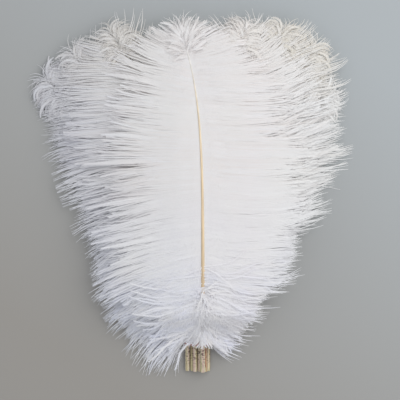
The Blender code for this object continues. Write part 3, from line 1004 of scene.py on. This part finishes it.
def join_strands(parts):
    """Joins the arrays of several kinds of barbs into those of one mesh."""
    joined, first, row = [], 0, 0
    for (places, corners, along, rows), count in parts:
        joined.append((places, corners + first, along, rows + row))
        first += len(places)
        row += count
    return [np.concatenate(part) for part in zip(*joined)]


for plume in PLUMES:
    dice = np.random.default_rng(plume.layer + 11)
    outer_left = (BARBS_SHOWN, BARBS_HIDDEN)
    counts = BARBS_A_SIDE.get(plume.name, outer_left if plume.tip_x < 0 else outer_left[::-1])
    found = [barb_lines(plume, side, count, dice) for side, count in zip((-1, 1), counts)]
    found.append(tip_lines(plume, TIP_BARBS.get(plume.name, OTHER_TIP_BARBS), dice))
    lines, lengths, fine, yellowed = [np.concatenate(part) for part in zip(*found)]
    yellowed = np.concatenate([yellowed[~fine], yellowed[fine]])
    parts = []
    for form, strands, mine in ((VANE_BARB, VANE_BARBS, ~fine), (FINE_BARB, FINE_BARBS, fine)):
        laid = lay_strands(form, strands, lines[mine], lengths[mine], dice)
        parts.append((laid, int(mine.sum())))
    mesh = barb_mesh(f"{plume.name}_barbs", join_strands(parts), yellowed)
    add_piece(mesh, vane, plume.name)

# ------------------------ down
# At the foot of the vane the barbs turn to down: short, fine and wild, with long loose barbules.
# It swells over the tie, hides the shaft's last stretch and hangs down over the quills.
DOWN_BARB = Strand(0.030, 0.00085, 0.0002, 0.3, 5, 44, 0.00026, 0.0042, 74, 46, 30)
FRONT = PLUMES[-1]

# The down proper, and a thin veil of longer barbs that grows higher up and hangs over it.
DOWN_BARBS = 240
VEIL_BARBS = 170
VEIL_TOP_Y = -0.0700
DOWN_TOP_Y = -0.0905
DOWN_LOW_Y = -0.1440

# A share of the down covers the shaft and the tie. In degrees from the shaft's direction, from
# the top down: how barbs leave the shaft and how far that varies. And their lengths.
COVER_SHARE = 0.45
COVER_LEAVE = 158
DOWN_LEAVE = (98, 146)
DOWN_VARIES = 20
VEIL_LEAVE = (96, 136)
VEIL_VARIES = 9
COVER_LONG = (0.010, 0.019)
DOWN_LONG = (0.016, 0.036)
VEIL_LONG = (0.036, 0.070)
# How far they bend and wave, as shares of their length.
DOWN_BEND = 0.18
DOWN_WAVE = 0.05
# How high they stand over the layer's floor, over the shaft and away from it, and up to how much
# more, and the distances from the shaft between which that changes.
OVER_SHAFT, OVER_VANE, OVER_MORE = 0.0040, 0.0014, 0.0016
NEAR_SHAFT, OFF_SHAFT = 0.002, 0.014

down_strands = [make_strand(DOWN_BARB, strand_dice) for _ in range(STRAND_KINDS)]
dice = np.random.default_rng(5)
every = DOWN_BARBS + VEIL_BARBS
veil = np.arange(every) < VEIL_BARBS
low_share = dice.uniform(0, 1, every) ** 0.8
root_y = mix(np.where(veil, VEIL_TOP_Y, DOWN_TOP_Y), DOWN_LOW_Y, low_share)
cover = (dice.uniform(0, 1, every) < COVER_SHARE) & ~veil
side = np.sign(dice.uniform(-1, 1, every))
off = dice.uniform(-0.6, 0.6, every)
turn = np.where(cover, COVER_LEAVE, mix(*DOWN_LEAVE, low_share))
turn = turn + dice.normal(0, DOWN_VARIES, every)
veil_turn = mix(*VEIL_LEAVE, low_share) + dice.normal(0, VEIL_VARIES, every)
angle = side * np.radians(np.where(veil, veil_turn, turn))
reach = np.where(cover, dice.uniform(*COVER_LONG, every), dice.uniform(*DOWN_LONG, every))
reach = np.where(veil, dice.uniform(*VEIL_LONG, every), reach)
ahead = shaft_ahead(FRONT, root_y)
across = to_right(ahead)
width, height = shaft_size(FRONT, root_y)
foot = shaft_line(FRONT, root_y)
start = foot[:, :2] + across * (off * width)[:, None]
way = ahead * np.cos(angle)[:, None] + across * np.sin(angle)[:, None]
aside = to_right(way)
waves = dice.uniform(0.5, 1.6, every)[:, None]
wave = np.sin(2 * np.pi * (LINE_SHARES[None] * waves + dice.uniform(0, 1, every)[:, None]))
bend = LINE_SHARES[None] ** 2 * dice.normal(0, DOWN_BEND, every)[:, None]
sway = (bend + wave * LINE_SHARES[None] * DOWN_WAVE) * reach[:, None]
run = LINE_SHARES[None] * reach[:, None]
lines = start[:, None] + way[:, None] * run[..., None] + aside[:, None] * sway[..., None]
lines, kept = cut_to_rim(lines, dice.uniform(-0.10, 0.02, every))
x, y = lines[..., 0], lines[..., 1]
from_shaft = np.abs(x - shaft_line(FRONT, y)[..., 0])
over = mix(OVER_SHAFT, OVER_VANE, smooth(NEAR_SHAFT, OFF_SHAFT, from_shaft))
over = over + dice.uniform(0, OVER_MORE, every)[:, None]
root_z = foot[:, 2] + height * dice.uniform(0.5, 1.0, every)
high = mix(root_z[:, None], layer_floor(FRONT, x, y) + over, smooth(0, 0.25, LINE_SHARES)[None])
lines = np.concatenate([lines, high[..., None]], -1)
arrays = lay_strands(DOWN_BARB, down_strands, lines, reach * kept, dice)
down_mesh = barb_mesh("plume_front_down", arrays, np.zeros(every))
add_piece(down_mesh, vane, FRONT.name)

# ------------------------ tie
# A cheap red cotton thread, wound tight round the quills in a narrow band and faded to pink. One
# end lies down between the quills.
TURNS = 7
THREAD_RADIUS = 0.00028
TIE_GAP = 0.0004
TIE_WIDE = 0.0030
TURN_STEPS = 40
TAIL_END = (0.0150, -0.1700)
TAIL_Z = 0.0104
TAIL_STEPS = 24
TAIL_WAVE = 0.0006

# The winding goes round the quills' common outline: their centres' own, grown by a quill's size.
centres = [Vector((quill_x(p), ROW_Z[p.row] + QUILL_HEIGHT / 2)) for p in PLUMES]
size = Vector((QUILL_WIDTH / 2 + TIE_GAP, QUILL_HEIGHT / 2 + TIE_GAP))
route = []
for step in range(TURNS * TURN_STEPS + 1):
    turn = math.tau * (step / TURN_STEPS + 0.25)
    outward = Vector((math.cos(turn), math.sin(turn)))
    spot = max(centres, key=lambda c: c.dot(outward)) + size * outward
    y = TIE_Y + TIE_WIDE * (step / (TURNS * TURN_STEPS) - 0.5)
    route.append((spot.x, y, spot.y + THREAD_RADIUS))
wound_end = route[-1]
for step in range(1, TAIL_STEPS + 1):
    share = step / TAIL_STEPS
    x = mix(wound_end[0], TAIL_END[0], smooth(0, 0.35, share))
    x += TAIL_WAVE * math.sin(7 * share) * share
    y = mix(wound_end[1], TAIL_END[1], share)
    z = mix(wound_end[2], TAIL_Z, smooth(0, 0.3, share))
    route.append((x, y, z))
thread = bpy.data.curves.new("tie_thread", "CURVE")
thread.dimensions = "3D"
thread.bevel_depth = THREAD_RADIUS
thread.bevel_resolution = 2
thread.use_fill_caps = True
spline = thread.splines.new("POLY")
spline.points.add(len(route) - 1)
spline.points.foreach_set("co", [c for point in route for c in (*point, 1)])
guide = bpy.data.objects.new("tie_thread", thread)
bpy.context.collection.objects.link(guide)
depsgraph = bpy.context.evaluated_depsgraph_get()
tie_mesh = bpy.data.meshes.new_from_object(guide.evaluated_get(depsgraph))
bpy.data.objects.remove(guide)
tie_mesh.name = "tie_thread"
tie_mesh.shade_smooth()

# Cotton is matt and hairy, and its cheap red dye has faded unevenly, every few millimetres. Its
# hairs are about 0.02 mm thick, too fine to show, so their fuzz is drawn this much coarser.
FADED = "#A8503F"
PINK = "#D99C92"
FADE_MM = 3.846
FUZZ_MM = 0.4
FUZZ_HEIGHT = 0.0001
cotton, tree, shader, place = new_material("faded red cotton thread")
fade = add_node(tree, "ShaderNodeTexNoise", Vector=place, Scale=1000 / FADE_MM, Detail=3)
dyed = add_node(
    tree, "ShaderNodeMix", MIXING, Factor=fade.outputs["Fac"],
    socket_6=linear(FADED), socket_7=linear(PINK),
)
tree.links.new(dyed.outputs[2], shader.inputs["Base Color"])
fuzz = add_node(tree, "ShaderNodeTexNoise", Vector=place, Scale=1000 / FUZZ_MM, Detail=2)
hairy = add_node(
    tree, "ShaderNodeBump", Strength=0.5, Distance=FUZZ_HEIGHT, Height=fuzz.outputs["Fac"],
)
tree.links.new(hairy.outputs["Normal"], shader.inputs["Normal"])
dry = add_node(tree, "ShaderNodeMapRange", Value=fade.outputs["Fac"], To_Min=0.78, To_Max=0.92)
tree.links.new(dry.outputs["Result"], shader.inputs["Roughness"])
add_piece(tie_mesh, cotton, "tie")
